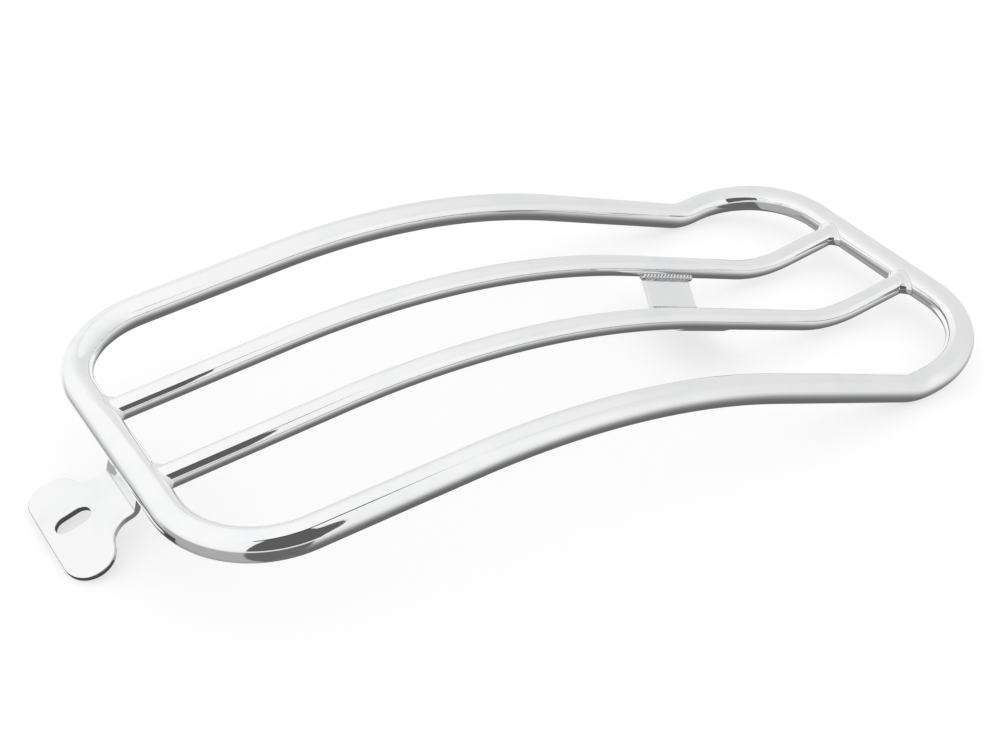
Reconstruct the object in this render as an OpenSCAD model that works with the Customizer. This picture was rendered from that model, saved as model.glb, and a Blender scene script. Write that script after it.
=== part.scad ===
// Motorcycle luggage rack.
// A closed hoop of round tube, two bent inner rods, a folded strap under the rods
// and a slotted tab folded up to the front tube, all welded and chrome plated.
// It stands as it rests on a flat floor: on the tab's two ears and on the undersides
// of the two side rails. +X is the rack's rear, +Y its right side and +Z is up.

/* [Hoop] */
// Diameter of the hoop's tube
hoop_d = 12.7; // [10:0.1:16]
// Wall of the hoop's tube
hoop_wall = 1.6; // [1.2:0.1:2.5]
// Half width at the front, from the middle to the meeting point of front tube and rail
front_half_w = 77.5; // [70:0.5:90]
// Outward lean of each side rail, in degrees
splay = 1.2; // [0:0.1:2.5]
// Bend radius of the front corners, to the tube's centre
front_bend_r = 39; // [32:0.5:44]
// Bend radius of the rear corners, to the tube's centre
rear_bend_r = 44; // [36:0.5:48]

/* [Side profile of the rails] */
// Straight length behind the front corner
rail_front_len = 64.5; // [40:0.5:90]
// Radius of the long arch
arch_r = 343; // [280:1:420]
// Turn of the long arch, in degrees
arch_turn = 24.6; // [20:0.1:28]
// Straight length between the arch and the kick-up
rail_rear_len = 82.5; // [60:0.5:100]
// Bend radius of the kick-up
kick_r = 28; // [22:0.5:40]
// Turn of the kick-up, in degrees
kick_turn = 27.7; // [24:0.1:31]
// Straight length between the kick-up and the rear corner
kick_len = 2; // [1:0.5:10]

/* [Inner rods] */
// Diameter of the rods
bar_d = 9.5; // [8:0.1:11]
// Distance from the middle plane to each rod at the front tube
bar_front_y = 23; // [18:0.5:28]
// Distance from the middle plane to each rod at the rear tube
bar_rear_y = 25; // [18:0.5:30]
// Rise of the rods where they leave the front tube, in degrees
bar_rise = 1.2; // [0:0.1:2]
// Straight length of the rods at the front
bar_front_len = 78.5; // [60:0.5:95]
// Radius of the rods' arch
bar_arch_r = 398; // [340:1:440]
// Turn of the rods' arch, in degrees
bar_arch_turn = 25.4; // [22:0.1:28]
// Bend radius of the rods' kick-up
bar_kick_r = 68.5; // [50:0.5:80]
// Turn of the rods' kick-up, in degrees
bar_kick_turn = 28; // [25:0.1:30]

/* [Cross strap] */
// Thickness of the strap
strap_t = 2; // [1.5:0.1:3]
// Width of the strap along the rods
strap_w = 29; // [20:0.5:36]
// Distance from the end of the rods' arch back to the strap's middle
strap_back = 22.5; // [15:0.5:40]
// Depth of the strap's flat bottom below the rods' centres
strap_drop = 12.5; // [9:0.1:14]
// Half width of the strap's flat bottom
strap_flat = 9.5; // [7:0.1:12]
// Slope of the strap's two arms, in degrees
strap_slope = 37.7; // [30:0.1:45]

/* [Mounting tab] */
// Thickness of the tab's plate
tab_t = 2.5; // [2:0.1:3.5]
// Length of the tab in front of its fold
tab_len = 31.7; // [28:0.1:36]
// Half width of the tab over its ears
tab_half_w = 28.5; // [26:0.1:32]
// Radius of the rounded ears
ear_r = 10; // [8:0.1:11]
// Half width of the tab's neck and flange
neck_half_w = 14; // [12:0.1:16]
// Radius between the ears and the neck
neck_fillet_r = 9; // [7:0.1:10]
// Length of the slot, end to end
slot_len = 14.5; // [10:0.1:16]
// Width of the slot
slot_w = 8; // [6:0.1:9]
// Distance from the fold to the slot's middle
slot_at = 20; // [18:0.1:22]
// Radius of the plate's crown, across the rack
crown_r = 150; // [120:1:300]
// Downward slope of the plate toward the front, in degrees
tab_slope = 13.5; // [10:0.1:16]
// Angle between the plate and the flange's rise, in degrees
fold_turn = 57; // [50:0.1:62]
// Length up the flange from the fold to beside the middle of the front tube
flange_rise = 18.26; // [16:0.01:20]
// Distance that the flange's front face lies behind the middle of the front tube
flange_back = 1.16; // [0:0.01:2]
// Inner radius of the fold
fold_r = 2.5; // [2:0.1:4]

/* [Welds] */
// Fillet radius of the welds between rods and hoop
rod_weld_r = 4.5; // [3:0.1:5]
// Radius of those welds over their top and bottom
rod_weld_crown = 14; // [12:0.5:20]
// Distance that they stay below the top of the hoop's tube
rod_weld_low = 0.25; // [0:0.05:1]
// Distance from the middle of the hoop's tube to where they are highest
rod_weld_peak = 2; // [0:0.1:4]
// Distance that they lean to one side
rod_weld_lean = 1.2; // [0:0.1:2]
// Radius of the beads along the strap's ends
strap_weld_r = 3; // [2.5:0.1:3.4]
// Distance from the middle of those beads to the rods' faces
strap_weld_out = 0.1; // [0:0.05:1]
// Radius of the beads along the tab's flange
tab_weld_r = 2; // [1.5:0.1:2.5]
// Distance from the middle of those beads to the tube and to the flange
tab_weld_out = 1.1; // [0.8:0.05:1.4]

/* [Hidden] */
$fn = 64;

// how far the straight lengths lap into the bends, and how much thinner they are
lap = 0.3;
hair = 0.02;

hoop_r = hoop_d / 2;
bar_r = bar_d / 2;

// tilt and height of the rack on a flat floor, and the middle of its length
rest_tilt = 7.118;
rest_x = 179.765;
rest_z = 32.909;

// hoop: the front corner, then the end of the kick-up seen from the front corner
front_turn = 90 - splay;
front_straight = front_half_w - front_bend_r * tan(front_turn / 2);
kick_end = kick_turn - arch_turn;
rail_run = rail_front_len + arch_r * sin(arch_turn) + rail_rear_len * cos(arch_turn)
         + kick_r * (sin(kick_end) + sin(arch_turn)) + kick_len * cos(kick_end);
rail_fall = arch_r * (1 - cos(arch_turn)) + rail_rear_len * sin(arch_turn)
          + kick_r * (cos(kick_end) - cos(arch_turn)) - kick_len * sin(kick_end);
rail_x = front_bend_r * (1 - cos(front_turn)) + rail_run * cos(splay);
rail_y = front_straight + front_bend_r * sin(front_turn) + rail_run * sin(splay);

// hoop: the rear corner turns the kicked-up rail into the rear tube
rear_turn = acos(-cos(kick_end) * sin(splay));
rear_roll = 90 - atan2(sin(kick_end) * sin(splay), cos(splay));
rear_out = rear_bend_r * sin(rear_turn);
rear_in = rear_bend_r * (1 - cos(rear_turn)) / sin(rear_turn);
rear_x = rail_x + cos(kick_end) * cos(splay) * (rear_out + rear_in * cos(kick_end) * sin(splay));
rear_z = -rail_fall + sin(kick_end) * (rear_out + rear_in * cos(kick_end) * sin(splay));
rear_straight = rail_y + rear_out * cos(kick_end) * sin(splay) - rear_in * pow(sin(rear_turn), 2);

// rods: the two rear straights have the lengths that bring each rod to the middle of the rear tube
bar_splay = atan((bar_rear_y - bar_front_y) / rear_x);
bar_down = bar_arch_turn - bar_rise;
bar_end = bar_kick_turn - bar_down;
bar_arch_run = bar_front_len * cos(bar_rise) + bar_arch_r * (sin(bar_rise) + sin(bar_down));
bar_arch_z = bar_front_len * sin(bar_rise) - bar_arch_r * (cos(bar_rise) - cos(bar_down));
bar_left_x = rear_x / cos(bar_splay) - bar_arch_run - bar_kick_r * (sin(bar_end) + sin(bar_down));
bar_left_z = rear_z - bar_arch_z - bar_kick_r * (cos(bar_down) - cos(bar_end));
bar_mid_len = (bar_left_x * sin(bar_end) - bar_left_z * cos(bar_end)) / sin(bar_kick_turn);
bar_last = (bar_left_x * sin(bar_down) + bar_left_z * cos(bar_down)) / sin(bar_kick_turn);

// strap: its middle lies on the rods' straight length behind their arch
strap_run = bar_arch_run + strap_back * cos(bar_down);
strap_x = strap_run * cos(bar_splay);
strap_z = bar_arch_z - strap_back * sin(bar_down);
strap_bar_y = bar_front_y + (bar_rear_y - bar_front_y) * strap_x / rear_x;
strap_reach = (strap_bar_y - strap_flat) / cos(strap_slope);

// tab: where the plate's top meets the flange's front face
flange_fall = tab_slope + fold_turn;
fold_x = -flange_rise * cos(flange_fall) + flange_back * sin(flange_fall);
fold_z = -flange_rise * sin(flange_fall) - flange_back * cos(flange_fall);

// Section of a tube or, without a wall, of a rod
module ring(d, wall) {
    difference() {
        circle(d = d);
        if (wall > 0) circle(d = d - 2 * wall);
    }
}

// Straight length along +X. It laps into the bends at its ends, by a hair thinner than they are.
module run(len, d, wall = 0) {
    translate([-lap, 0, 0]) rotate([90, 0, 90]) linear_extrude(len + 2 * lap)
        ring(d - 2 * hair, max(0, wall - 2 * hair));
}

// Bend that starts along +X and turns toward +Y
module bend(r, turn, d, wall = 0) {
    translate([0, r, 0]) rotate([0, 0, -90]) rotate_extrude(angle = turn, $fn = 180) translate([r, 0]) ring(d, wall);
}

// Moves what follows to the end of a bend toward +Y, turned about the bend's centre
module turned(r, turn) {
    translate([0, r, 0]) rotate([0, 0, turn]) translate([0, -r, 0]) children();
}

// Right side of the hoop, from the front tube's end to the rear tube's end
module hoop_side(d, wall) {
    translate([0, front_straight, 0]) rotate([0, 0, 90]) rotate([180, 0, 0]) {
        bend(front_bend_r, front_turn, d, wall);
        turned(front_bend_r, front_turn) rotate([90, 0, 0]) hoop_rail(d, wall);
    }
}

// Side rail, kick-up and rear corner; the arch turns toward +Y and the kick-up back again
module hoop_rail(d, wall) {
    run(rail_front_len, d, wall);
    translate([rail_front_len, 0, 0]) {
        bend(arch_r, arch_turn, d, wall);
        turned(arch_r, arch_turn) {
            run(rail_rear_len, d, wall);
            translate([rail_rear_len, 0, 0]) rotate([180, 0, 0]) {
                bend(kick_r, kick_turn, d, wall);
                turned(kick_r, kick_turn) {
                    run(kick_len, d, wall);
                    translate([kick_len, 0, 0]) rotate([rear_roll, 0, 0]) bend(rear_bend_r, rear_turn, d, wall);
                }
            }
        }
    }
}

// Whole hoop
module hoop(d, wall) {
    translate([0, -front_straight, 0]) rotate([0, 0, 90]) run(2 * front_straight, d, wall);
    translate([rear_x, -rear_straight, rear_z]) rotate([0, 0, 90]) run(2 * rear_straight, d, wall);
    hoop_side(d, wall);
    mirror([0, 1, 0]) hoop_side(d, wall);
}

// Solid front and rear tubes, cut from what is welded to them
module front_tube() {
    rotate([90, 0, 0]) cylinder(r = hoop_r - hair, h = 2 * front_straight - 1, center = true);
}

module rear_tube() {
    translate([rear_x, 0, rear_z]) rotate([90, 0, 0])
        cylinder(r = hoop_r - hair, h = 2 * rear_straight - 1, center = true);
}

// Moves to a place along the right rod, which falls by an angle there
module at_rod(along, z, fall) {
    translate([0, bar_front_y, 0]) rotate([0, 0, bar_splay]) translate([along, 0, z]) rotate([0, fall, 0]) children();
}

// A length of the right rod about such a place
module rod_length(along, z, fall) {
    at_rod(along, z, fall) rotate([0, 90, 0]) cylinder(r = bar_r - hair, h = 60, center = true);
}

// Right rod as bent, its ends in the middle of the front and rear tubes
module rod_path() {
    at_rod(0, 0, -bar_rise) rotate([-90, 0, 0]) {
        run(bar_front_len, bar_d);
        translate([bar_front_len, 0, 0]) {
            bend(bar_arch_r, bar_arch_turn, bar_d);
            turned(bar_arch_r, bar_arch_turn) {
                run(bar_mid_len, bar_d);
                translate([bar_mid_len, 0, 0]) rotate([180, 0, 0]) {
                    bend(bar_kick_r, bar_kick_turn, bar_d);
                    turned(bar_kick_r, bar_kick_turn) run(bar_last, bar_d);
                }
            }
        }
    }
}

// Right rod with both ends coped to the tubes
module rod() {
    difference() {
        rod_path();
        front_tube();
        rear_tube();
    }
}

// Stands the rack on the floor
module rest() {
    translate([-rest_x, 0, rest_z]) rotate([0, -rest_tilt, 0]) children();
}

module outer_hoop() {
    color("gainsboro") rest() hoop(hoop_d, hoop_wall);
}

module left_bar() {
    color("gainsboro") rest() mirror([0, 1, 0]) rod();
}

module right_bar() {
    color("gainsboro") rest() rod();
}

// Fillet of weld around a rod that leaves a tube along +X, shifted to one side and rounded over above and below
module weld_body(side) {
    low = rod_weld_crown + rod_weld_low - hoop_r;
    intersection() {
        translate([0, side, 0]) rotate([0, 90, 0]) rotate_extrude() difference() {
            square([bar_r + rod_weld_r, hoop_r + rod_weld_r]);
            translate([bar_r + rod_weld_r, hoop_r + rod_weld_r]) circle(r = rod_weld_r);
        }
        translate([rod_weld_peak, 0, -low]) rotate([90, 0, 0])
            cylinder(r = rod_weld_crown, h = 40, center = true, $fn = 180);
        translate([rod_weld_peak, 0, low]) rotate([90, 0, 0])
            cylinder(r = rod_weld_crown, h = 40, center = true, $fn = 180);
    }
}

module front_weld(side) {
    difference() {
        at_rod(0, 0, -bar_rise) weld_body(side);
        front_tube();
        rod_length(0, 0, -bar_rise);
    }
}

module rear_weld(side) {
    difference() {
        at_rod(rear_x / cos(bar_splay), rear_z, -bar_end) mirror([1, 0, 0]) weld_body(side);
        rear_tube();
        rod_length(rear_x / cos(bar_splay), rear_z, -bar_end);
    }
}

module front_left_weld() {
    color("gainsboro") rest() mirror([0, 1, 0]) front_weld(-rod_weld_lean);
}

module front_right_weld() {
    color("gainsboro") rest() front_weld(rod_weld_lean);
}

module rear_left_weld() {
    color("gainsboro") rest() mirror([0, 1, 0]) rear_weld(rod_weld_lean);
}

module rear_right_weld() {
    color("gainsboro") rest() rear_weld(-rod_weld_lean);
}

// Moves to the strap's middle, +X along the rods and +Z square to them
module at_strap() {
    translate([strap_x, 0, strap_z]) rotate([0, bar_down, 0]) children();
}

// Rods near the strap
module strap_rods() {
    rod_length(strap_run, strap_z, bar_down);
    mirror([0, 1, 0]) rod_length(strap_run, strap_z, bar_down);
}

// Points of an arc about a centre
function arc_points(c, r, from, to, n) =
    [for (i = [0:n]) c + r * [cos(from + (to - from) * i / n), sin(from + (to - from) * i / n)]];

// Section of the strap: a flat bottom and two arms that rise to the rods
module strap_section() {
    top = [strap_flat, -strap_drop];
    along = [cos(strap_slope), sin(strap_slope)];
    end = top + strap_reach * along;
    half = concat([end], [end + strap_t * [along[1], -along[0]]],
                  [for (p = arc_points(top, strap_t, strap_slope - 90, -90, 12)) p]);
    back = [for (i = [len(half) - 1:-1:0]) [-half[i][0], half[i][1]]];
    polygon(concat([top], half, back, [[-top[0], top[1]]]));
}

module cross_strap() {
    color("gainsboro") rest() difference() {
        at_strap() rotate([90, 0, 90]) linear_extrude(strap_w, center = true) strap_section();
        strap_rods();
    }
}

// Bead along the right end of the strap, above its arm
module strap_weld() {
    out = bar_r + strap_weld_out;
    difference() {
        at_strap() difference() {
            translate([0, strap_bar_y - out * cos(strap_slope), -out * sin(strap_slope)]) {
                rotate([0, 90, 0]) cylinder(r = strap_weld_r, h = strap_w, center = true);
                for (s = [-1, 1]) translate([s * strap_w / 2, 0, 0]) sphere(r = strap_weld_r);
            }
            translate([0, strap_flat, -strap_drop]) rotate([strap_slope, 0, 0])
                translate([-strap_w, -10, -12]) cube([2 * strap_w, 40, 12]);
        }
        strap_rods();
    }
}

module strap_right_weld() {
    color("gainsboro") rest() strap_weld();
}

module strap_left_weld() {
    color("gainsboro") rest() mirror([0, 1, 0]) strap_weld();
}

// Moves to the tab's fold, +X rearward along the plate and +Z square to it
module at_tab() {
    translate([fold_x, 0, fold_z]) rotate([0, -tab_slope, 0]) children();
}

// Outline of the tab seen square to its plate, the fold at x = 0 and the front at negative x
module tab_outline() {
    ear = [-(tab_len - ear_r), tab_half_w - ear_r];
    fil_w = neck_half_w + neck_fillet_r;
    fil = [ear[0] + sqrt(pow(ear_r + neck_fillet_r, 2) - pow(fil_w - ear[1], 2)), fil_w];
    meet = atan2(fil[1] - ear[1], fil[0] - ear[0]);
    side = concat(arc_points(ear, ear_r, 180, meet, 36), arc_points(fil, neck_fillet_r, meet + 180, 270, 16),
                  [[40, neck_half_w]]);
    polygon(concat(side, [for (i = [len(side) - 1:-1:0]) [side[i][0], -side[i][1]]]));
}

// Folded section of the tab, x up from the crown's centre and y forward from the fold
module tab_section() {
    back = fold_r * tan(fold_turn / 2);
    c = [crown_r + fold_r, back];
    rise = [sin(fold_turn), -cos(fold_turn)];
    out = [cos(fold_turn), sin(fold_turn)];
    inner = arc_points(c, fold_r, 180, 180 + fold_turn, 12);
    outer = arc_points(c, fold_r + tab_t, 180 + fold_turn, 180, 12);
    polygon(concat([[crown_r, tab_len + 5]], inner, [c - fold_r * out + flange_rise * rise],
                   [c - (fold_r + tab_t) * out + flange_rise * rise], outer, [[crown_r - tab_t, tab_len + 5]]));
}

module mounting_tab() {
    sweep = 2 * asin((tab_half_w + 5) / crown_r);
    color("gainsboro") rest() difference() {
        at_tab() difference() {
            intersection() {
                translate([0, 0, -crown_r]) rotate([0, -90, 0]) rotate([0, 0, -sweep / 2])
                    rotate_extrude(angle = sweep, $fn = 180) tab_section();
                linear_extrude(80, center = true) tab_outline();
            }
            translate([-slot_at, 0, 0]) {
                cube([slot_len - slot_w, slot_w, 20], center = true);
                for (s = [-1, 1]) translate([s * (slot_len - slot_w) / 2, 0, 0])
                    cylinder(d = slot_w, h = 20, center = true);
            }
        }
        front_tube();
    }
}

// Bead in the corner between the front tube and one face of the flange
module tab_weld(forward) {
    off = forward ? tab_weld_out - flange_back : -tab_weld_out - tab_t - flange_back;
    down = sqrt(pow(hoop_r + tab_weld_out, 2) - pow(off, 2));
    difference() {
        rotate([0, 90 - flange_fall, 0]) translate([-off, 0, -down]) rotate([90, 0, 0]) {
            cylinder(r = tab_weld_r, h = 2 * neck_half_w - 2, center = true);
            for (s = [-1, 1]) translate([0, 0, s * (neck_half_w - 1)]) sphere(r = tab_weld_r);
        }
        front_tube();
        at_tab() rotate([0, -fold_turn, 0]) translate([-5, -40, -tab_t]) cube([40, 80, tab_t]);
    }
}

module tab_front_weld() {
    color("gainsboro") rest() tab_weld(true);
}

module tab_rear_weld() {
    color("gainsboro") rest() tab_weld(false);
}

outer_hoop();
left_bar();
right_bar();
cross_strap();
mounting_tab();
front_left_weld();
front_right_weld();
rear_left_weld();
rear_right_weld();
strap_left_weld();
strap_right_weld();
tab_front_weld();
tab_rear_weld();
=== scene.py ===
"""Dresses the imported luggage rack: smooth chrome tubes, folded plates and rippled welds, in a white tent."""
import math

import bpy
import numpy as np
from mathutils import Matrix
from mathutils.geometry import delaunay_2d_cdt


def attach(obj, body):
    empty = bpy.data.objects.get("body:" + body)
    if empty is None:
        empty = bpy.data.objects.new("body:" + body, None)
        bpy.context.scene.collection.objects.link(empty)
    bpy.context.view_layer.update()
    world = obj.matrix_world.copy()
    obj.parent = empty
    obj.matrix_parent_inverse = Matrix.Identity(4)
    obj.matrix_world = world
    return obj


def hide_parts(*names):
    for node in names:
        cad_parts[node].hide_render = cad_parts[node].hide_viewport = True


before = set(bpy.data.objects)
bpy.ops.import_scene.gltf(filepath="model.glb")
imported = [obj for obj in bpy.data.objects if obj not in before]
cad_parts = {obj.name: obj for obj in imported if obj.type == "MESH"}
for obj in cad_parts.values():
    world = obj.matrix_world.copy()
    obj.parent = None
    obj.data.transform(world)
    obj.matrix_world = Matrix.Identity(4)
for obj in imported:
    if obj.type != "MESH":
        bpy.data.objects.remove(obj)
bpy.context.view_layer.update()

# Sizes in millimetres and degrees, as in the part's source
HOOP_R = 6.35
FRONT_HALF_W = 77.5
SPLAY = 1.2
FRONT_BEND_R = 39.0
REAR_BEND_R = 44.0
RAIL_FRONT = 64.5
ARCH_R, ARCH_TURN = 343.0, 24.6
RAIL_REAR = 82.5
KICK_R, KICK_TURN = 28.0, 27.7
KICK_LEN = 2.0
BAR_R = 4.75
BAR_FRONT_Y, BAR_REAR_Y = 23.0, 25.0
BAR_RISE = 1.2
BAR_FRONT = 78.5
BAR_ARCH_R, BAR_ARCH_TURN = 398.0, 25.4
BAR_KICK_R, BAR_KICK_TURN = 68.5, 28.0
STRAP_T, STRAP_W, STRAP_BACK = 2.0, 29.0, 22.5
STRAP_DROP, STRAP_FLAT, STRAP_SLOPE = 12.5, 9.5, 37.7
TAB_T, TAB_LEN, TAB_HALF_W = 2.5, 31.7, 28.5
EAR_R, NECK_HALF_W, NECK_FILLET = 10.0, 14.0, 9.0
SLOT_LEN, SLOT_W, SLOT_AT = 14.5, 8.0, 20.0
CROWN_R, TAB_SLOPE, FOLD_TURN, FOLD_R = 150.0, 13.5, 57.0, 2.5
FOLD_X, FOLD_Z = -5.0, -17.6
REST_TILT, REST_X, REST_Z = 7.118, 179.765, 32.909

RNG = np.random.default_rng(7)
X, Y, Z = np.eye(3)


def turn_y(deg):
    """Matrix that turns about Y, from X toward -Z."""
    a = math.radians(deg)
    return np.array([[math.cos(a), 0, math.sin(a)], [0, 1, 0], [-math.sin(a), 0, math.cos(a)]])


REST = turn_y(-REST_TILT)


def rest(points):
    """Points in the rack's own frame, stood on the floor."""
    return np.asarray(points, float) @ REST.T + [-REST_X, 0, REST_Z]


def rest_dir(vectors):
    """Directions in the rack's own frame, turned as it stands on the floor."""
    return np.asarray(vectors, float) @ REST.T


def unit(v):
    return v / np.linalg.norm(v)


def heading(fall, side):
    """Direction along a rail that falls and splays by these degrees, and the one up and square to it."""
    f, s = math.radians(fall), math.radians(side)
    along = np.array([math.cos(f) * math.cos(s), math.cos(f) * math.sin(s), -math.sin(f)])
    up = np.array([math.sin(f) * math.cos(s), math.sin(f) * math.sin(s), math.cos(f)])
    return along, up


class Path:
    """Centreline made of straight lengths and bends."""

    def __init__(self, start, along):
        self.points = [np.asarray(start, float)]
        self.along = np.asarray(along, float)

    def straight(self, length, step=2.0):
        n = max(1, int(math.ceil(length / step)))
        p = self.points[-1]
        self.points += [p + self.along * length * (i + 1) / n for i in range(n)]

    def bend(self, radius, deg, side, step_deg=1.0):
        n = max(4, int(math.ceil(deg / step_deg)))
        p, a = self.points[-1], self.along
        for i in range(n):
            t = math.radians(deg * (i + 1) / n)
            self.points.append(p + radius * (math.sin(t) * a + (1 - math.cos(t)) * side))
        t = math.radians(deg)
        self.along = math.cos(t) * a + math.sin(t) * side


def bend_to(path, radius, target):
    """Bends a path round to a target direction."""
    a = path.along
    deg = math.degrees(math.acos(float(np.clip(a @ target, -1, 1))))
    path.bend(radius, deg, unit(target - (a @ target) * a))


def hoop_half():
    """Centreline of the right half of the hoop, from the front's middle to the rear's middle."""
    along, up = heading(0, SPLAY)
    cut = FRONT_BEND_R * math.tan(math.radians(90 - SPLAY) / 2)
    path = Path([0, 0, 0], Y)
    path.straight(FRONT_HALF_W - cut)
    bend_to(path, FRONT_BEND_R, along)
    path.straight(RAIL_FRONT)
    path.bend(ARCH_R, ARCH_TURN, -up, 0.3)
    path.straight(RAIL_REAR)
    along, up = heading(ARCH_TURN, SPLAY)
    path.bend(KICK_R, KICK_TURN, up)
    path.straight(KICK_LEN)
    bend_to(path, REAR_BEND_R, -Y)
    path.straight(path.points[-1][1])
    return np.array(path.points)


HALF = hoop_half()
REAR = HALF[-1]


def rod_path():
    """Centreline of the right rod, from inside the front tube to inside the rear tube."""
    splay = math.degrees(math.atan((BAR_REAR_Y - BAR_FRONT_Y) / REAR[0]))
    along, up = heading(-BAR_RISE, splay)
    path = Path([0, BAR_FRONT_Y, 0], along)
    path.straight(BAR_FRONT)
    path.bend(BAR_ARCH_R, BAR_ARCH_TURN, -up, 0.3)
    strap_mid = path.points[-1] + STRAP_BACK * path.along
    # The two rear straights have the lengths that bring the rod to the middle of the rear tube
    kick = Path([0, 0, 0], path.along)
    kick.bend(BAR_KICK_R, BAR_KICK_TURN, heading(BAR_ARCH_TURN - BAR_RISE, splay)[1])
    left = [REAR[0], REAR[2]] - (path.points[-1] + kick.points[-1])[[0, 2]]
    first, last = np.linalg.solve(np.stack([path.along[[0, 2]], kick.along[[0, 2]]], 1), left)
    path.straight(first)
    path.bend(BAR_KICK_R, BAR_KICK_TURN, heading(BAR_ARCH_TURN - BAR_RISE, splay)[1])
    path.straight(last)
    return np.array(path.points), strap_mid


ROD, strap_mid = rod_path()


def tangents(points, closed):
    if closed:
        t = np.roll(points, -1, 0) - np.roll(points, 1, 0)
    else:
        t = np.gradient(points, axis=0)
    return t / np.linalg.norm(t, axis=1)[:, None]


def mesh_piece(name, verts, faces, nodes, material, normals=None):
    """Makes a smooth piece from points in the rack's frame and hides the parts that it stands in for."""
    data = bpy.data.meshes.new(name)
    data.from_pydata((rest(verts) / 1000).tolist(), [], [tuple(int(i) for i in f) for f in faces])
    data.validate()
    data.update()
    data.shade_smooth()
    if normals is not None:
        data.normals_split_custom_set_from_vertices(rest_dir(normals).tolist())
    data.materials.append(material)
    obj = bpy.data.objects.new(name, data)
    bpy.context.scene.collection.objects.link(obj)
    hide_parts(*nodes)
    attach(obj, "root")


def sweep(points, radius, sides, closed=False):
    """Round tube or rod along a centreline, with flat ends where it is open."""
    t = tangents(points, closed)
    up = Z - (t @ Z)[:, None] * t
    up /= np.linalg.norm(up, axis=1)[:, None]
    out = np.cross(t, up)
    ang = np.arange(sides) * 2 * math.pi / sides
    ring = np.cos(ang)[None, :, None] * out[:, None] + np.sin(ang)[None, :, None] * up[:, None]
    verts = (points[:, None] + radius * ring).reshape(-1, 3)
    count = len(points)
    faces = []
    for i in range(count if closed else count - 1):
        j = (i + 1) % count
        for k in range(sides):
            m = (k + 1) % sides
            faces.append((i * sides + k, i * sides + m, j * sides + m, j * sides + k))
    if not closed:
        faces.append(tuple(range(sides))[::-1])
        faces.append(tuple((count - 1) * sides + k for k in range(sides)))
    return verts, [f[::-1] for f in faces]


# Materials

def node_tree(material):
    material.use_nodes = True
    tree = material.node_tree
    tree.nodes.clear()
    return tree


def add(tree, kind, **values):
    """Adds a node. Plain names set its properties, and in_NAME or in_NUMBER sets an input."""
    node = tree.nodes.new(kind)
    for key, value in values.items():
        if key.startswith("in_"):
            socket = key[3:]
            node.inputs[int(socket) if socket.isdigit() else socket.replace("_", " ")].default_value = value
        else:
            setattr(node, key, value)
    return node


def math_node(tree, operation, a, b=None):
    node = add(tree, "ShaderNodeMath", operation=operation)
    for i, v in enumerate((a, b)):
        if v is None:
            continue
        if isinstance(v, (int, float)):
            node.inputs[i].default_value = v
        else:
            tree.links.new(v, node.inputs[i])
    return node.outputs[0]


def ramp(tree, value, low, high, out_low=0.0, out_high=1.0, smooth=True):
    node = add(tree, "ShaderNodeMapRange", in_1=low, in_2=high, in_3=out_low, in_4=out_high)
    node.interpolation_type = "SMOOTHSTEP" if smooth else "LINEAR"
    tree.links.new(value, node.inputs[0])
    return node.outputs[0]


def chrome(name, colour, rough, wave, grain, crevice_shade=None):
    """Plated steel: a clear mirror with faint smears, a soft wave left by bending and a fine polish grain.

    wave and grain are heights in metres, and crevice_shade, the last argument, is painted shade: the grey that
    the base colour takes in sharp hollows.
    """
    material = bpy.data.materials.new(name)
    tree = node_tree(material)
    link = tree.links.new
    where = add(tree, "ShaderNodeTexCoord").outputs["Object"]
    shader = add(tree, "ShaderNodeBsdfPrincipled", in_Metallic=1.0, in_Base_Color=(*colour, 1))
    out = add(tree, "ShaderNodeOutputMaterial")
    link(shader.outputs[0], out.inputs[0])
    smear = add(tree, "ShaderNodeTexNoise", in_Scale=38.0, in_Detail=5.0, in_Roughness=0.6)
    link(where, smear.inputs["Vector"])
    specks = add(tree, "ShaderNodeTexNoise", in_Scale=900.0, in_Detail=2.0)
    link(where, specks.inputs["Vector"])
    rub = ramp(tree, smear.outputs[0], 0.42, 0.72, rough, rough * 2.2)
    dust = ramp(tree, specks.outputs[0], 0.66, 0.8, 0.0, 0.06)
    link(math_node(tree, "ADD", rub, dust), shader.inputs["Roughness"])
    tint = add(tree, "ShaderNodeMix", data_type="RGBA")
    tint.inputs[6].default_value = (*colour, 1)
    tint.inputs[7].default_value = (colour[0] * 0.95, colour[1] * 0.955, colour[2] * 0.965, 1)
    link(ramp(tree, smear.outputs[0], 0.4, 0.75), tint.inputs[0])
    plated = tint.outputs[2]
    if crevice_shade is not None:
        # Painted shade: the base colour turns grey in the grooves between a weld's strokes and in other sharp
        # hollows, where shade would fall
        shade_in_hollows = add(tree, "ShaderNodeMix", data_type="RGBA")
        shade_in_hollows.inputs[6].default_value = (crevice_shade, crevice_shade, crevice_shade, 1)
        link(plated, shade_in_hollows.inputs[7])
        pointy = add(tree, "ShaderNodeNewGeometry").outputs["Pointiness"]
        link(ramp(tree, pointy, 0.44, 0.497), shade_in_hollows.inputs[0])
        plated = shade_in_hollows.outputs[2]
    link(plated, shader.inputs["Base Color"])
    broad = add(tree, "ShaderNodeTexNoise", in_Scale=62.0, in_Detail=1.0)
    link(where, broad.inputs["Vector"])
    fine = add(tree, "ShaderNodeTexNoise", in_Scale=1500.0, in_Detail=2.0)
    link(where, fine.inputs["Vector"])
    first = add(tree, "ShaderNodeBump", in_Strength=1.0, in_Distance=wave)
    link(broad.outputs[0], first.inputs["Height"])
    second = add(tree, "ShaderNodeBump", in_Strength=1.0, in_Distance=grain)
    link(fine.outputs[0], second.inputs["Height"])
    link(first.outputs[0], second.inputs["Normal"])
    link(second.outputs[0], shader.inputs["Normal"])
    return material


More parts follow.
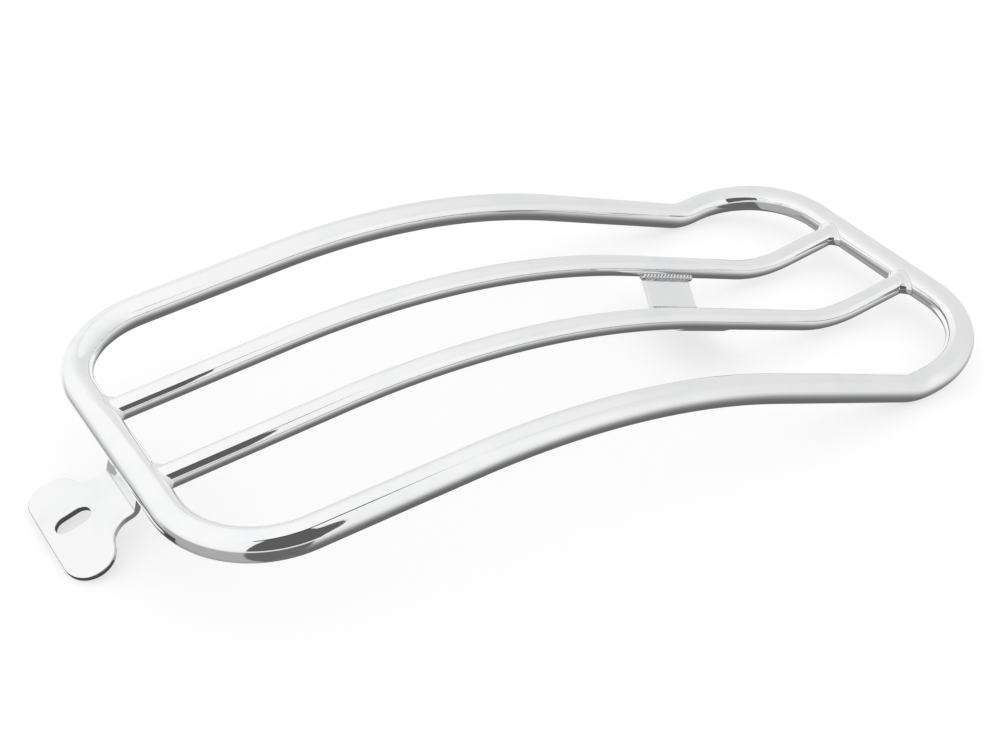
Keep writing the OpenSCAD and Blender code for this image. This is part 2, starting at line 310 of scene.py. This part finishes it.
TUBE = chrome("chrome_tube", (0.965, 0.966, 0.968), 0.02, 0.00003, 0.0000006)
PLATE = chrome("chrome_plate", (0.94, 0.941, 0.943), 0.045, 0.00008, 0.000002)
# The last number of the weld and fillet materials is the grey of painted shade in their hollows
WELD = chrome("chrome_weld", (0.93, 0.931, 0.933), 0.06, 0.0001, 0.000004, 0.2)
FILLET = chrome("chrome_fillet", (0.93, 0.931, 0.933), 0.05, 0.0002, 0.000004, 0.72)

# Hoop and rods

HOOP_SIDES, ROD_SIDES = 56, 48
loop = np.concatenate([HALF, (HALF[1:-1] * [1, -1, 1])[::-1]])
verts, faces = sweep(loop, HOOP_R, HOOP_SIDES, closed=True)
mesh_piece("hoop_tube", verts, faces, ["outer_hoop"], TUBE)

# The rods end in the tubes' walls, a millimetre under their surface. Points of the centreline that are
# nearer than END_STEP to an end are left out.
ROD_SINK = 1.0
END_STEP = 0.5
along = np.concatenate([[0], np.cumsum(np.linalg.norm(np.diff(ROD, axis=0), axis=1))])
ends = np.array([HOOP_R - ROD_SINK, along[-1] - HOOP_R + ROD_SINK])
keep = (along > ends[0] + END_STEP) & (along < ends[1] - END_STEP)
clip = [np.array([np.interp(e, along, ROD[:, i]) for i in range(3)]) for e in ends]
rod = np.concatenate([[clip[0]], ROD[keep], [clip[1]]])
for side, sign in (("right", 1), ("left", -1)):
    verts, faces = sweep(rod * [1, sign, 1], BAR_R, ROD_SIDES)
    mesh_piece(side + "_rod", verts, faces, [side + "_bar"], TUBE)


# Folded sheets

def arc_2d(centre, radius, start, end, count):
    a = np.radians(np.linspace(start, end, count))
    return np.stack([centre[0] + radius * np.cos(a), centre[1] + radius * np.sin(a)], 1)


def resample(loop, step):
    """Even points round a closed 2D outline."""
    closed = np.concatenate([loop, loop[:1]])
    d = np.concatenate([[0], np.cumsum(np.linalg.norm(np.diff(closed, axis=0), axis=1))])
    n = int(d[-1] / step)
    s = np.arange(n) * d[-1] / n
    return np.stack([np.interp(s, d, closed[:, i]) for i in range(2)], 1)


def inward(loop, hole):
    """Unit directions into the sheet at each point of an outline."""
    t = np.roll(loop, -1, 0) - np.roll(loop, 1, 0)
    t /= np.linalg.norm(t, axis=1)[:, None]
    n = np.stack([-t[:, 1], t[:, 0]], 1)
    area = (loop[:, 0] * np.roll(loop[:, 1], -1) - loop[:, 1] * np.roll(loop[:, 0], -1)).sum()
    sign = (1 if area > 0 else -1) * (-1 if hole else 1)
    return n * sign


def inside(points, loop):
    """Which 2D points lie within a closed outline."""
    x, y = points[:, 0][:, None], points[:, 1][:, None]
    x0, y0 = loop[:, 0][None], loop[:, 1][None]
    x1, y1 = np.roll(loop[:, 0], -1)[None], np.roll(loop[:, 1], -1)[None]
    cross = (y0 > y) != (y1 > y)
    at = (x1 - x0) * (y - y0) / np.where(y1 == y0, 1e-12, y1 - y0) + x0
    return (cross & (x < at)).sum(1) % 2 == 1


def sheet_mesh(outline, holes, shape, thickness, edge, step):
    """Solid sheet with rounded edges. shape maps flat points to the top face and its normals."""
    loops = [(outline, False)] + [(h, True) for h in holes]
    dirs = [inward(p, hole) for p, hole in loops]
    flat = [p + d * edge for (p, hole), d in zip(loops, dirs)]
    low, high = outline.min(0), outline.max(0)
    gx, gy = np.meshgrid(np.arange(low[0], high[0], step), np.arange(low[1], high[1], step))
    gx[1::2] += step / 2
    grid = np.stack([gx.ravel(), gy.ravel()], 1)
    ok = inside(grid, flat[0])
    for h in flat[1:]:
        ok &= ~inside(grid, h)
    border = np.concatenate(flat)
    for i in range(0, len(grid), 400):
        part = slice(i, i + 400)
        near = np.sqrt(((grid[part, None] - border[None]) ** 2).sum(2)).min(1)
        ok[part] &= near > 0.45 * step
    pts = np.concatenate([border, grid[ok]])
    edges, base = [], 0
    for p in flat:
        edges += [(base + i, base + (i + 1) % len(p)) for i in range(len(p))]
        base += len(p)
    got, _, tris, _, _, _ = delaunay_2d_cdt([tuple(p) for p in pts], edges, [], 0, 1e-6)
    pts2 = np.array([tuple(v) for v in got])
    assert len(pts2) == len(pts), "the flat sheet's points were merged"
    tris = np.array(tris)
    mid = pts2[tris].mean(1)
    ok = inside(mid, flat[0])
    for h in flat[1:]:
        ok &= ~inside(mid, h)
    tris = tris[ok]
    top, normal = shape(pts2)
    count = len(pts2)
    verts = [top, top - thickness * normal]
    norms = [normal, -normal]
    faces = [tuple(t) for t in tris] + [(t[0] + count, t[2] + count, t[1] + count) for t in tris]
    total = 2 * count
    base = 0
    for (p, hole), d in zip(loops, dirs):
        n = len(p)
        rings = []
        quarter = np.radians((22.5, 45, 67.5, 90))
        steps = [(a, 1) for a in quarter] + [(a, -1) for a in quarter[::-1]]
        previous = np.arange(base, base + n)
        for a, half in steps:
            q = p + d * edge * (1 - math.sin(a))
            s, m = shape(q)
            depth = edge * (1 - math.cos(a)) if half > 0 else thickness - edge * (1 - math.cos(a))
            ahead, _ = shape(q - d * 0.01)
            out = ahead - s
            out /= np.linalg.norm(out, axis=1)[:, None]
            verts.append(s - depth * m)
            norms.append(math.sin(a) * out + half * math.cos(a) * m)
            rings.append(np.arange(total, total + n))
            total += n
        rings.append(np.arange(base + count, base + count + n))
        area = (p[:, 0] * np.roll(p[:, 1], -1) - p[:, 1] * np.roll(p[:, 0], -1)).sum()
        flip = (area > 0) == hole
        for ring in rings:
            for i in range(n):
                j = (i + 1) % n
                f = (previous[i], ring[i], ring[j], previous[j])
                faces.append(f[::-1] if flip else f)
            previous = ring
        base += n
    verts, norms = np.concatenate(verts), np.concatenate(norms)
    return verts, faces, norms / np.linalg.norm(norms, axis=1)[:, None]


def profile(points, lengths):
    """Looks up a bent line: length along it to point and direction, both 2D."""
    def at(s):
        p = np.stack([np.interp(s, lengths, points[:, i]) for i in range(2)], 1)
        e = 0.02
        t = np.stack([np.interp(s + e, lengths, points[:, i]) - np.interp(s - e, lengths, points[:, i])
                      for i in range(2)], 1)
        return p, t / np.linalg.norm(t, axis=1)[:, None]
    return at


def bent_line(start, along_deg, parts):
    """Points and lengths of a 2D line made of straight parts (length) and bends (radius, degrees)."""
    pts, lens = [np.array(start, float)], [0.0]
    a = math.radians(along_deg)
    for part in parts:
        if len(part) == 1:
            pts.append(pts[-1] + part[0] * np.array([math.cos(a), math.sin(a)]))
            lens.append(lens[-1] + part[0])
            continue
        r, deg = part
        n = 24
        for i in range(n):
            da = math.radians(deg) / n
            chord = 2 * r * math.sin(abs(da) / 2)
            pts.append(pts[-1] + chord * np.array([math.cos(a + da / 2), math.sin(a + da / 2)]))
            lens.append(lens[-1] + r * abs(da))
            a += da
    return np.array(pts), np.array(lens)


# Mounting tab: the flat pattern runs from the front edge (negative) over the fold into the flange

# Radius of its edges, and the spacing of points over its face, round its outline and round the slot
TAB_EDGE, TAB_STEP, TAB_RIM, SLOT_RIM = 0.35, 1.1, 0.6, 0.5


def tab_pattern():
    ear = np.array([-(TAB_LEN - EAR_R), TAB_HALF_W - EAR_R])
    fil_w = NECK_HALF_W + NECK_FILLET
    reach = math.sqrt((EAR_R + NECK_FILLET) ** 2 - (fil_w - ear[1]) ** 2)
    fil = np.array([ear[0] + reach, fil_w])
    meet = math.degrees(math.atan2(fil[1] - ear[1], fil[0] - ear[0]))
    corner = (FLANGE_END - FLANGE_CORNER, NECK_HALF_W - FLANGE_CORNER)
    side = np.concatenate([
        arc_2d(ear, EAR_R, 180, meet, 60),
        arc_2d(fil, NECK_FILLET, meet + 180, 270, 30)[1:],
        [[corner[0], NECK_HALF_W]],
        arc_2d(corner, FLANGE_CORNER, 90, 0, 6),
    ])
    return resample(np.concatenate([side, (side * [1, -1])[::-1]])[::-1], TAB_RIM)


FOLD_BACK = FOLD_R * math.tan(math.radians(FOLD_TURN / 2))
FLANGE_END, FLANGE_CORNER = 13.5, 1.0
# The bent line starts a little before the plate and ends well past the flange
BEFORE, PAST = 2.0, 40.0
tab_line, tab_lengths = bent_line((-TAB_LEN - BEFORE, 0), 0, [
    (TAB_LEN + BEFORE - FOLD_BACK,), (FOLD_R, FOLD_TURN), (PAST,)])
tab_at = profile(tab_line, tab_lengths)
AT_TAB = turn_y(-TAB_SLOPE)


def tab_shape(q):
    """The tab's top face: bent along its length and crowned across it."""
    p, t = tab_at(q[:, 0] + TAB_LEN + BEFORE)
    rho = CROWN_R + p[:, 1]
    phi = np.arcsin(np.clip(q[:, 1] / rho, -1, 1))
    top = np.stack([p[:, 0], rho * np.sin(phi), rho * np.cos(phi) - CROWN_R], 1)
    n = np.stack([-t[:, 1], t[:, 0] * np.sin(phi), t[:, 0] * np.cos(phi)], 1)
    return top @ AT_TAB.T + [FOLD_X, 0, FOLD_Z], n @ AT_TAB.T


def slot_loop():
    half = (SLOT_LEN - SLOT_W) / 2
    front = arc_2d((-SLOT_AT - half, 0), SLOT_W / 2, 90, 270, 40)
    rear = arc_2d((-SLOT_AT + half, 0), SLOT_W / 2, -90, 90, 40)
    return resample(np.concatenate([front, rear]), SLOT_RIM)


verts, faces, norms = sheet_mesh(tab_pattern(), [slot_loop()], tab_shape, TAB_T, TAB_EDGE, TAB_STEP)
mesh_piece("slotted_tab", verts, faces, ["mounting_tab"], PLATE, norms)

# Cross strap

fall = BAR_ARCH_TURN - BAR_RISE
STRAP_ROD_Y = strap_mid[1]
AT_STRAP = turn_y(fall)
STRAP_FOLD_R = 1.2
# The strap's ends stop this far short of the rods' middles
STRAP_SHORT = 3.2
cut = STRAP_FOLD_R * math.tan(math.radians(STRAP_SLOPE / 2))
arm = (STRAP_ROD_Y - STRAP_SHORT - STRAP_FLAT) / math.cos(math.radians(STRAP_SLOPE))
MARGIN = 2.0
start_y = -(STRAP_FLAT + (arm + MARGIN) * math.cos(math.radians(STRAP_SLOPE)))
start_z = -STRAP_DROP + (arm + MARGIN) * math.sin(math.radians(STRAP_SLOPE))
fold = (STRAP_FOLD_R, STRAP_SLOPE)
strap_line, strap_lengths = bent_line((start_y, start_z), -STRAP_SLOPE, [
    (arm + MARGIN - cut,), fold, (2 * (STRAP_FLAT - cut),), fold, (arm + MARGIN - cut,)])
strap_at = profile(strap_line, strap_lengths)


def from_strap(p):
    """Points of the strap's own frame, in the rack's."""
    return np.asarray(p) @ AT_STRAP.T + [strap_mid[0], 0, strap_mid[2]]


def strap_shape(q):
    """The strap's top face: q is the place along the rods and the length across them."""
    p, t = strap_at(q[:, 1] + MARGIN)
    top = np.stack([q[:, 0], p[:, 0], p[:, 1]], 1)
    n = np.stack([0 * q[:, 0], -t[:, 1], t[:, 0]], 1)
    return from_strap(top), n @ AT_STRAP.T


half_w, full = STRAP_W / 2, strap_lengths[-1] - 2 * MARGIN
corner = 0.8
rect = np.concatenate([arc_2d((half_w - corner, corner), corner, -90, 0, 5),
                       arc_2d((half_w - corner, full - corner), corner, 0, 90, 5),
                       arc_2d((corner - half_w, full - corner), corner, 90, 180, 5),
                       arc_2d((corner - half_w, corner), corner, 180, 270, 5)])
STRAP_EDGE, STRAP_STEP, STRAP_RIM = 0.3, 0.8, 0.5
flat_strap = resample(rect, STRAP_RIM)
verts, faces, norms = sheet_mesh(flat_strap, [], strap_shape, STRAP_T, STRAP_EDGE, STRAP_STEP)
mesh_piece("folded_strap", verts, faces, ["cross_strap"], PLATE, norms)


# Welds

# A rod fillet's reach over and under the rod, how far its hidden rims sink into the metal, and how deep
# its innermost rim lies in the tube
RISE, SINK, RIM_DEPTH = 0.85, 0.3, 1.2


def rod_fillet(name, node, origin, along, wide, narrow, grow):
    """Weld round a rod where it leaves a tube. wide and narrow are its reach to the right and the left."""
    along = unit(along)
    side = unit(Y - (Y @ along) * along)
    up = np.cross(along, side)
    if up[2] < 0:
        up = -up
    n_ang, n_arc = 96, 14
    phi = np.arange(n_ang) * 2 * math.pi / n_ang
    c, s = np.cos(phi), np.sin(phi)
    across = np.where(c > 0, wide, narrow)
    reach = across * np.abs(c) ** 1.5 + RISE * (1 - np.abs(c) ** 1.5)
    ripple = 0.10 * np.sin(phi * 23 + grow) + 0.07 * np.sin(phi * 37 + 2 * grow)
    verts = []
    for j in range(n_arc + 1):
        a = math.pi / 2 * j / n_arc
        bulge = 1 - 0.12 * math.sin(2 * a)
        spread = 1 - math.cos(a) * bulge if j else 0.0
        lift = (reach + SINK) * (1 - math.sin(a) * bulge) + ripple * math.sin(2 * a)
        y = (BAR_R - SINK + (across + SINK) * spread) * c
        z = (BAR_R - SINK + (RISE + SINK) * spread) * s
        surface = np.sqrt(HOOP_R ** 2 - z ** 2)
        x = surface + lift - (SINK if j == n_arc else 0)
        verts.append(origin + x[:, None] * along + y[:, None] * side + z[:, None] * up)
    rim = BAR_R - 2 * SINK
    inner = origin + (HOOP_R - RIM_DEPTH) * along + rim * (c[:, None] * side + s[:, None] * up)
    verts = np.concatenate([inner] + verts)
    rows = n_arc + 2
    faces = []
    handed = np.dot(np.cross(side, up), along) > 0
    for j in range(rows):
        k = (j + 1) % rows
        for i in range(n_ang):
            m = (i + 1) % n_ang
            f = (j * n_ang + i, j * n_ang + m, k * n_ang + m, k * n_ang + i)
            faces.append(f if handed else f[::-1])
    mesh_piece(name, verts, faces, [node], FILLET)


front_dir = unit(ROD[1] - ROD[0])
rear_dir = unit(ROD[-2] - ROD[-1])
for side, sign in (("right", 1), ("left", -1)):
    flip = np.array([1, sign, 1])
    for end, origin, way, wide, narrow, grow in (("front", ROD[0], front_dir, 5.2, 2.4, 1.0),
                                                 ("rear", ROD[-1], rear_dir, 2.6, 5.0, 4.0)):
        rod_fillet("%s_%s_fillet" % (end, side), "%s_%s_weld" % (end, side), origin * flip, way * flip,
                   wide, narrow, grow + sign)


BEAD_STEP, BEAD_SIDES = 0.15, 28


def bead(name, node, centre, axis, toward, length, radius, pitch, lean, groove=0.1, place=None):
    """Round weld bead of overlapping strokes along an axis.

    toward is where its bulge faces, lean how far a stroke slants, groove how deep the gaps between strokes
    are as a share of the radius, and place the frame that the bead is in.
    """
    n_len, n_ang = int(length / BEAD_STEP), BEAD_SIDES
    axis, toward = unit(np.asarray(axis, float)), unit(np.asarray(toward, float))
    cross = np.cross(axis, toward)
    s = np.linspace(-length / 2, length / 2, n_len)
    phase = RNG.uniform(0, 1)
    drift = 0.10 * np.sin(s * 0.9 + phase * 6) + 0.06 * np.sin(s * 2.3 + phase)
    rings = []
    for i, x in enumerate(s):
        over = max(0.0, abs(x) - (length / 2 - radius)) / radius
        end = min(1.0, math.sqrt(max(0.0, 1 - over ** 2)) + 0.02)
        a = np.arange(n_ang) * 2 * math.pi / n_ang
        wave = ((x + lean * np.sin(a)) / pitch + phase) % 1.0
        rise = 0.12 * (1 - wave) ** 2 - 0.04 - groove * np.exp(-((wave - 0.5) / 0.14) ** 2)
        r = radius * end * (1 + rise + 0.4 * drift[i] / radius)
        out = (r * np.cos(a))[:, None] * toward + (r * np.sin(a))[:, None] * cross
        rings.append(centre + x * axis + out)
    verts = np.concatenate(rings)
    faces = []
    for i in range(n_len - 1):
        for k in range(n_ang):
            m = (k + 1) % n_ang
            j = i + 1
            faces.append((i * n_ang + k, i * n_ang + m, j * n_ang + m, j * n_ang + k)[::-1])
    faces.append(tuple(range(n_ang)))
    faces.append(tuple((n_len - 1) * n_ang + k for k in range(n_ang))[::-1])
    mesh_piece(name, place(verts) if place else verts, faces, [node], WELD)


# How far a strap bead lies inside and under its rod's middle, and how much longer a bead is than its plate
STRAP_BEAD_IN, STRAP_BEAD_DOWN = 3.6, 3.3
STRAP_BEAD_MORE, TAB_BEAD_MORE = 4.0, 1.5
for side, sign in (("right", 1), ("left", -1)):
    centre = np.array([0, sign * (STRAP_ROD_Y - STRAP_BEAD_IN), -STRAP_BEAD_DOWN])
    bead("strap_%s_bead" % side, "strap_%s_weld" % side, centre, X, (0, -sign * 0.5, 0.85),
         STRAP_W + STRAP_BEAD_MORE,
         radius=1.9, pitch=2.1, lean=1.5 * sign, groove=0.34, place=from_strap)

for end, sign, x, z, radius in (("front", -1, -2.5, -7.05, 1.8), ("rear", 1, 2.65, -7.0, 1.9)):
    bead("tab_%s_bead" % end, "tab_%s_weld" % end, np.array([x, 0, z]), Y, (0.7 * sign, 0, -0.7),
         2 * NECK_HALF_W + TAB_BEAD_MORE, radius, pitch=1.6, lean=0.8)

# Floor

floor_mesh = bpy.data.meshes.new("floor")
FAR = 4.0
floor_mesh.from_pydata([(-FAR, -FAR, 0), (FAR, -FAR, 0), (FAR, FAR, 0), (-FAR, FAR, 0)], [], [(0, 1, 2, 3)])
floor = bpy.data.objects.new("floor", floor_mesh)
bpy.context.scene.collection.objects.link(floor)
paper = bpy.data.materials.new("paper")
tree = node_tree(paper)
diffuse = add(tree, "ShaderNodeBsdfDiffuse", in_Color=(0.42, 0.42, 0.42, 1))
glow = add(tree, "ShaderNodeEmission", in_Color=(1, 1, 1, 1), in_Strength=0.62)
paper_sum = add(tree, "ShaderNodeAddShader")
tree.links.new(diffuse.outputs[0], paper_sum.inputs[0])
tree.links.new(glow.outputs[0], paper_sum.inputs[1])
tree.links.new(paper_sum.outputs[0], add(tree, "ShaderNodeOutputMaterial").inputs[0])
floor_mesh.materials.append(paper)
floor.visible_glossy = False

# Cards round the rack that only mirrors see: the tent's dark open front, the white panel over the rack with
# the thin dark strip of painted shade along its front edge, and the shaded table under the tab

def card(name, corners, shade, rear_shade=None):
    """Glowing sheet for mirrors only. Its light may change from the rack's front to its rear."""
    data = bpy.data.meshes.new(name)
    data.from_pydata(corners, [], [tuple(range(len(corners)))])
    obj = bpy.data.objects.new(name, data)
    bpy.context.scene.collection.objects.link(obj)
    cloth = bpy.data.materials.new(name)
    tree = node_tree(cloth)
    glow = add(tree, "ShaderNodeEmission", in_Color=(1, 1, 1, 1), in_Strength=shade)
    if rear_shade is not None:
        place = add(tree, "ShaderNodeSeparateXYZ")
        tree.links.new(add(tree, "ShaderNodeTexCoord").outputs["Object"], place.inputs[0])
        tree.links.new(ramp(tree, place.outputs[0], -0.2, 0.3, shade, rear_shade), glow.inputs["Strength"])
    tree.links.new(glow.outputs[0], add(tree, "ShaderNodeOutputMaterial").inputs[0])
    data.materials.append(cloth)
    obj.visible_camera = False
    obj.visible_diffuse = False
    obj.visible_shadow = False
    obj.visible_transmission = False


def level_sheet(x0, x1, y0, y1, z):
    """Corners of a level sheet."""
    return [(x0, y0, z), (x1, y0, z), (x1, y1, z), (x0, y1, z)]


FRONT_X0, FRONT_X1, FRONT_Y, FRONT_Z0, FRONT_Z1 = -0.86, 0.022, -0.75, 0.008, 2.2
PANEL_Y, PANEL_Z = -0.122, 0.186
PANEL_EDGE_SHADE_FRONT, PANEL_EDGE_SHADE_REAR = (PANEL_Y - 0.009, PANEL_Z - 0.004), (PANEL_Y + 0.005, PANEL_Z - 0.001)
card("dark_front", [(FRONT_X0, FRONT_Y, FRONT_Z0), (FRONT_X1, FRONT_Y, FRONT_Z0),
                    (FRONT_X1, FRONT_Y, FRONT_Z1), (FRONT_X0, FRONT_Y, FRONT_Z1)], 0.11)
card("white_panel", level_sheet(-0.6, 0.38, PANEL_Y, 0.2, PANEL_Z), 0.98, 0.78)
# A dim strip paints the shade on the white panel's front edge
card("panel_edge_shade", [(-0.24, *PANEL_EDGE_SHADE_FRONT), (-0.1, *PANEL_EDGE_SHADE_FRONT), (-0.05, PANEL_Y + 0.002, PANEL_Z - 0.001),
                   (-0.1, *PANEL_EDGE_SHADE_REAR), (-0.24, *PANEL_EDGE_SHADE_REAR)], 0.03)
card("table_shade", level_sheet(-0.228, -0.188, -0.038, 0.03, 0.0005), 0.07)

# The tent: even white light on everything, and for mirrors its walls and the grey table

world = bpy.data.worlds.new("tent")
bpy.context.scene.world = world
world.use_nodes = True
tree = world.node_tree
tree.nodes.clear()
link = tree.links.new
direction = add(tree, "ShaderNodeTexCoord").outputs["Generated"]
split = add(tree, "ShaderNodeSeparateXYZ")
link(direction, split.inputs[0])
dx, dy, dz = split.outputs
DEGREES = 180 / math.pi
# Azimuth is nought toward the rack's rear and 90 toward its right
azimuth = math_node(tree, "MULTIPLY", math_node(tree, "ARCTAN2", dy, dx), DEGREES)
elevation = math_node(tree, "MULTIPLY", math_node(tree, "ARCSINE", dz), DEGREES)


def window(value, low, high, soft):
    """One between two limits and nought outside."""
    rise = ramp(tree, value, low - soft, low + soft)
    drop = ramp(tree, value, high - soft, high + soft, 1.0, 0.0)
    return math_node(tree, "MULTIPLY", rise, drop)


def blend(base, other, amount):
    """base where amount is nought, other where it is one."""
    node = add(tree, "ShaderNodeMix", data_type="FLOAT")
    link(amount, node.inputs[0])
    for i, v in ((2, base), (3, other)):
        if isinstance(v, (int, float)):
            node.inputs[i].default_value = v
        else:
            link(v, node.inputs[i])
    return node.outputs[0]


def tones(value, low, high, stops):
    """Light along an angle, from stops of angle and strength."""
    node = add(tree, "ShaderNodeValToRGB")
    link(ramp(tree, value, low, high, smooth=False), node.inputs[0])
    ramp_stops = node.color_ramp.elements
    for i, (angle, level) in enumerate(stops):
        at = (angle - low) / (high - low)
        stop = ramp_stops[i] if i < 2 else ramp_stops.new(at)
        stop.position = at
        stop.color = (level, level, level, 1)
    return node.outputs[0]


# Walls: bright toward the rack's front and right, a little lower toward its rear
wall = tones(azimuth, -180, 180, [
    (-180, 0.97), (-79, 0.92), (-62, 0.95), (-42, 0.84), (0, 0.77), (55, 0.8), (100, 0.98), (180, 0.98)])
lift = tones(elevation, -10, 90, [(-10, 0.95), (0, 0.96), (16, 1.0), (40, 1.0), (90, 0.98)])
wall = math_node(tree, "MULTIPLY", wall, lift)
# Table near the rack: grey straight below, paler toward the horizon
table = tones(elevation, -90, 0, [
    (-90, 0.17), (-60, 0.14), (-50, 0.17), (-40, 0.25), (-30, 0.38), (-20, 0.62), (-9, 0.80), (0, 0.84)])
light = blend(wall, table, ramp(tree, elevation, -2, -7))
# Paper toward the rack's rear right, away from the camera, stays white
behind = math_node(tree, "MULTIPLY", window(azimuth, 18, 112, 6), window(elevation, -43.5, -4, 1.5))
light = blend(light, 0.97, behind)
# The tubes' own shade lies on a part of it
shade = math_node(tree, "MULTIPLY", window(azimuth, 18, 70, 8), window(elevation, -43.5, -26, 4))
light = blend(light, 0.5, shade)
deep = math_node(tree, "MULTIPLY", window(azimuth, 14, 72, 8), ramp(tree, elevation, -34, -39))
light = blend(light, 0.15, deep)
# From the rack's right round to its front the table is a middle grey
side = math_node(tree, "MULTIPLY", window(azimuth, 62, 179.5, 8), ramp(tree, elevation, -40, -50))
light = blend(light, 0.36, side)
left = math_node(tree, "MAXIMUM", ramp(tree, azimuth, 144, 156), ramp(tree, azimuth, -132, -136))
light = blend(light, 0.42, math_node(tree, "MULTIPLY", left, ramp(tree, elevation, -8, -13)))
# The dark front again, in the table's gloss
gloss = math_node(tree, "MULTIPLY", window(azimuth, -136, -79, 2.5), ramp(tree, elevation, -8, -12))
light = blend(light, 0.14, gloss)

is_mirror = add(tree, "ShaderNodeLightPath").outputs["Is Glossy Ray"]
strength = blend(1.0, light, is_mirror)
background = add(tree, "ShaderNodeBackground", in_Color=(1, 1, 1, 1))
link(strength, background.inputs["Strength"])
link(background.outputs[0], add(tree, "ShaderNodeOutputWorld").inputs[0])

# Camera at the photograph's angle

AZ, EL, ROLL = math.radians(-31.2535), math.radians(39.1079), math.radians(-2.4214)
TARGET = np.array([230.0, 0, 0])
SHIFT_X, SHIFT_Y, DISTANCE, FOCAL_PX = 53.943, 55.911, 688.862, 1613.04
IMAGE_W, SENSOR_W = 1000, 36.0
back = np.array([math.sin(AZ) * math.cos(EL), -math.cos(AZ) * math.cos(EL), math.sin(EL)])
right = np.array([math.cos(AZ), math.sin(AZ), 0])
up = np.cross(back, right)
right, up = math.cos(ROLL) * right + math.sin(ROLL) * up, math.cos(ROLL) * up - math.sin(ROLL) * right
eye = rest(TARGET - SHIFT_X * right - SHIFT_Y * up + DISTANCE * back) / 1000
camera_data = bpy.data.cameras.new("camera")
camera = bpy.data.objects.new("camera", camera_data)
bpy.context.scene.collection.objects.link(camera)
axes = np.stack([rest_dir(right), rest_dir(up), rest_dir(back)], 1)
matrix = np.eye(4)
matrix[:3, :3] = axes
matrix[:3, 3] = eye
camera.matrix_world = Matrix([list(row) for row in matrix])
camera_data.sensor_width = SENSOR_W
camera_data.lens = FOCAL_PX * SENSOR_W / IMAGE_W
camera_data.clip_start = 0.01
bpy.context.scene.camera = camera

bpy.context.scene.view_settings.view_transform = "Standard"
